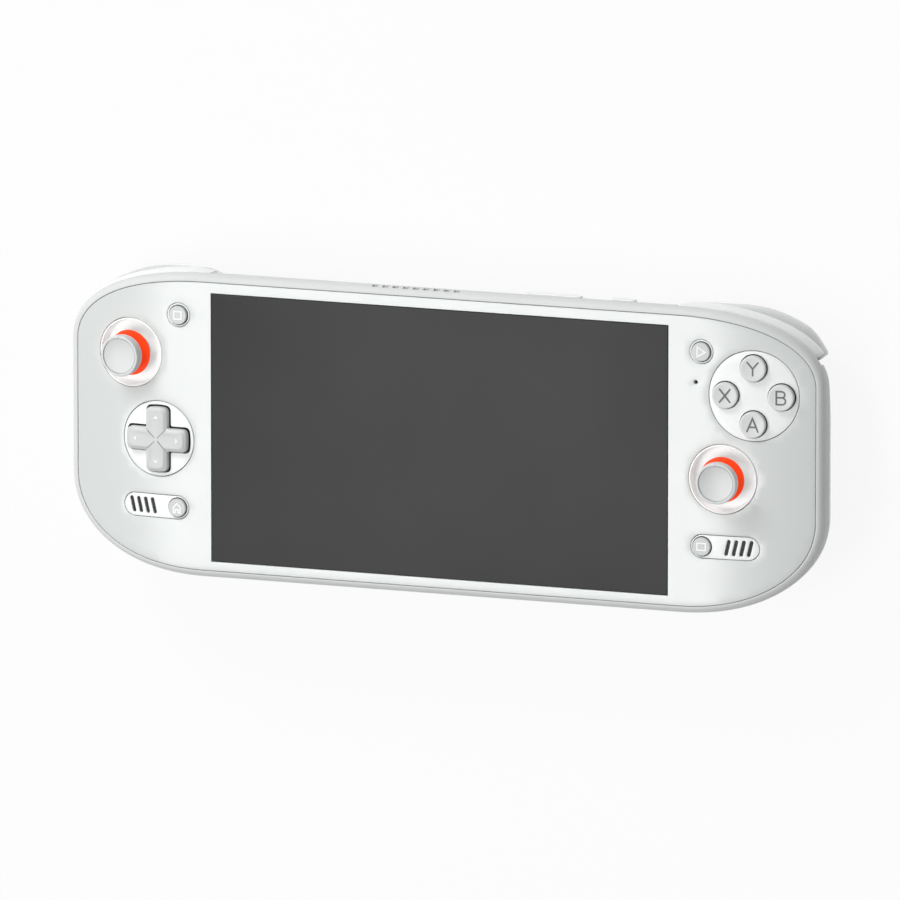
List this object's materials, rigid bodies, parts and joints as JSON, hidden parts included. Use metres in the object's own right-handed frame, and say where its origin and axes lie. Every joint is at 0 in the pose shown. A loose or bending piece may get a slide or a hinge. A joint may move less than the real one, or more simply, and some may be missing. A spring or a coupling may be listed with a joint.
{
  "type": "handheld game console",
  "caption": "Handheld game console with a wide screen, thumb sticks, direction pad, face buttons, bumpers and sprung triggers, curved wings and palm grips",
  "frame": {"origin": "centre of the bounding box's base, on the plane that the backs of the grips rest on", "axes": "+X to the player's right along the console, +Y towards the top edge with the vents, +Z out of the screen"},
  "size_m": [0.2192, 0.0854, 0.0337],
  "materials": {
    "white_shell": "fine matt moulding",
    "white_insert": "smooth satin moulding",
    "grey_button": "satin moulding",
    "pale_button": "satin moulding",
    "orange_collar": "smooth moulding",
    "white_stem": "smooth moulding",
    "screen_glass": "dark screen that is switched off",
    "black_plastic": "plain moulding",
    "dark_plastic": "plain moulding",
    "silicone": "moulded silicone",
    "circuit_board": "solder mask",
    "steel": "plain",
    "cast_aluminium": "die cast",
    "copper": "plain copper"
  },
  "bodies": {
    "console": {"face_plate": "white_shell", "display_glass": "screen_glass", "display_module": "black_plastic", "mid_frame": "white_shell", "back_cover": "white_shell", "chassis_plate": "cast_aluminium", "back_screws": "steel", "left_stick_socket": "white_insert", "left_stick_base": "dark_plastic", "right_stick_socket": "white_insert", "right_stick_base": "dark_plastic", "dpad_disc": "white_insert", "dpad_membrane": "silicone", "abxy_disc": "white_insert", "abxy_membrane": "silicone", "left_pill": "white_insert", "right_pill": "white_insert", "left_speaker": "black_plastic", "right_speaker": "black_plastic", "left_control_board": "circuit_board", "right_control_board": "circuit_board", "bumper_pins": "steel", "trigger_pins": "steel", "trigger_springs": "steel", "main_board": "circuit_board", "battery": "black_plastic", "fan_housing": "black_plastic", "heat_sink": "copper", "left_motor": "cast_aluminium", "right_motor": "cast_aluminium", "usb_port": "steel", "headphone_jack": "black_plastic", "card_slot": "dark_plastic"},
    "left_yoke": {"left_stick_yoke": "dark_plastic"},
    "left_hub": {"left_stick_hub": "dark_plastic"},
    "left_stick": {"left_stick_shaft": "white_stem", "left_stick_collar": "orange_collar", "left_stick_cap": "grey_button"},
    "right_yoke": {"right_stick_yoke": "dark_plastic"},
    "right_hub": {"right_stick_hub": "dark_plastic"},
    "right_stick": {"right_stick_shaft": "white_stem", "right_stick_collar": "orange_collar", "right_stick_cap": "grey_button"},
    "dpad_rocker": {"dpad_rocker": "dark_plastic"},
    "dpad": {"dpad": "grey_button"},
    "button_a": {"button_a": "grey_button"},
    "button_b": {"button_b": "grey_button"},
    "button_x": {"button_x": "grey_button"},
    "button_y": {"button_y": "grey_button"},
    "select_button": {"select_button": "pale_button"},
    "start_button": {"start_button": "pale_button"},
    "home_button": {"home_button": "pale_button"},
    "return_button": {"return_button": "pale_button"},
    "left_bumper": {"left_bumper": "white_shell"},
    "right_bumper": {"right_bumper": "white_shell"},
    "left_trigger": {"left_trigger": "white_shell"},
    "right_trigger": {"right_trigger": "white_shell"},
    "volume_rocker": {"volume_rocker": "white_shell"},
    "power_button": {"power_button": "white_shell"},
    "fan_rotor": {"fan_rotor": "dark_plastic"}
  },
  "joints": [
    {"name": "left_stick_tilt_y", "type": "hinge", "parent": "console", "child": "left_yoke", "pos_m": [-0.08965, 0.01886, 0.01862], "axis": [0.9917, 0, 0.1288], "range_deg": [-14, 14], "stiffness_Nm_per_rad": 0.02},
    {"name": "left_stick_tilt_x", "type": "hinge", "parent": "left_yoke", "child": "left_hub", "pos_m": [-0.08965, 0.01886, 0.01862], "axis": [0, 1, 0], "range_deg": [-14, 14], "stiffness_Nm_per_rad": 0.02},
    {"name": "left_stick_click", "type": "slide", "parent": "left_hub", "child": "left_stick", "axis": [0.1288, 0, -0.9917], "range_m": [0, 0.0004], "stiffness_N_per_m": 4000},
    {"name": "right_stick_tilt_y", "type": "hinge", "parent": "console", "child": "right_yoke", "pos_m": [0.08165, -0.00459, 0.01938], "axis": [0.9981, 0, -0.0608], "range_deg": [-14, 14], "stiffness_Nm_per_rad": 0.02},
    {"name": "right_stick_tilt_x", "type": "hinge", "parent": "right_yoke", "child": "right_hub", "pos_m": [0.08165, -0.00459, 0.01938], "axis": [0, 1, 0], "range_deg": [-14, 14], "stiffness_Nm_per_rad": 0.02},
    {"name": "right_stick_click", "type": "slide", "parent": "right_hub", "child": "right_stick", "axis": [-0.0608, 0, -0.9981], "range_m": [0, 0.0004], "stiffness_N_per_m": 4000},
    {"name": "dpad_rock_y", "type": "hinge", "parent": "console", "child": "dpad_rocker", "pos_m": [-0.08175, -0.00459, 0.02098], "axis": [0.9981, 0, 0.0608], "range_deg": [-3, 3], "stiffness_Nm_per_rad": 0.2},
    {"name": "dpad_rock_x", "type": "hinge", "parent": "dpad_rocker", "child": "dpad", "pos_m": [-0.08175, -0.00459, 0.02098], "axis": [0, 1, 0], "range_deg": [-3, 3], "stiffness_Nm_per_rad": 0.2},
    {"name": "button_a_press", "type": "slide", "parent": "console", "child": "button_a", "axis": [-0.1296, 0, -0.9916], "range_m": [0, 0.0006], "stiffness_N_per_m": 1500},
    {"name": "button_b_press", "type": "slide", "parent": "console", "child": "button_b", "axis": [-0.1296, 0, -0.9916], "range_m": [0, 0.0006], "stiffness_N_per_m": 1500},
    {"name": "button_x_press", "type": "slide", "parent": "console", "child": "button_x", "axis": [-0.1296, 0, -0.9916], "range_m": [0, 0.0006], "stiffness_N_per_m": 1500},
    {"name": "button_y_press", "type": "slide", "parent": "console", "child": "button_y", "axis": [-0.1296, 0, -0.9916], "range_m": [0, 0.0006], "stiffness_N_per_m": 1500},
    {"name": "select_button_press", "type": "slide", "parent": "console", "child": "select_button", "axis": [0.0124, 0, -0.9999], "range_m": [0, 0.0004], "stiffness_N_per_m": 2500},
    {"name": "start_button_press", "type": "slide", "parent": "console", "child": "start_button", "axis": [-0.0124, 0, -0.9999], "range_m": [0, 0.0004], "stiffness_N_per_m": 2500},
    {"name": "home_button_press", "type": "slide", "parent": "console", "child": "home_button", "axis": [0.0152, 0, -0.9999], "range_m": [0, 0.0004], "stiffness_N_per_m": 2500},
    {"name": "return_button_press", "type": "slide", "parent": "console", "child": "return_button", "axis": [-0.0152, 0, -0.9999], "range_m": [0, 0.0004], "stiffness_N_per_m": 2500},
    {"name": "left_bumper_press", "type": "hinge", "parent": "console", "child": "left_bumper", "pos_m": [-0.0706, 0.04101, 0.027], "axis": [0, 0, 1], "range_deg": [0, 2.5], "stiffness_Nm_per_rad": 2},
    {"name": "right_bumper_press", "type": "hinge", "parent": "console", "child": "right_bumper", "pos_m": [0.0706, 0.04101, 0.027], "axis": [0, 0, 1], "range_deg": [-2.5, 0], "stiffness_Nm_per_rad": 2},
    {"name": "left_trigger_pull", "type": "hinge", "parent": "console", "child": "left_trigger", "pos_m": [-0.074, 0.03836, 0.014], "axis": [0.9327, 0.3606, 0], "range_deg": [-15, 0], "stiffness_Nm_per_rad": 0.15},
    {"name": "right_trigger_pull", "type": "hinge", "parent": "console", "child": "right_trigger", "pos_m": [0.074, 0.03836, 0.014], "axis": [0.9327, -0.3606, 0], "range_deg": [-15, 0], "stiffness_Nm_per_rad": 0.15},
    {"name": "volume_rock", "type": "hinge", "parent": "console", "child": "volume_rocker", "pos_m": [0.03195, 0.03991, 0.0218], "axis": [0, 0, 1], "range_deg": [-2, 2], "stiffness_Nm_per_rad": 0.3},
    {"name": "power_press", "type": "slide", "parent": "console", "child": "power_button", "axis": [0, -1, 0], "range_m": [0, 0.00035], "stiffness_N_per_m": 2500},
    {"name": "fan_spin", "type": "hinge", "parent": "console", "child": "fan_rotor", "pos_m": [-0.008, 0.00356, 0.017], "axis": [0, 0, 1], "continuous": true}
  ]
}
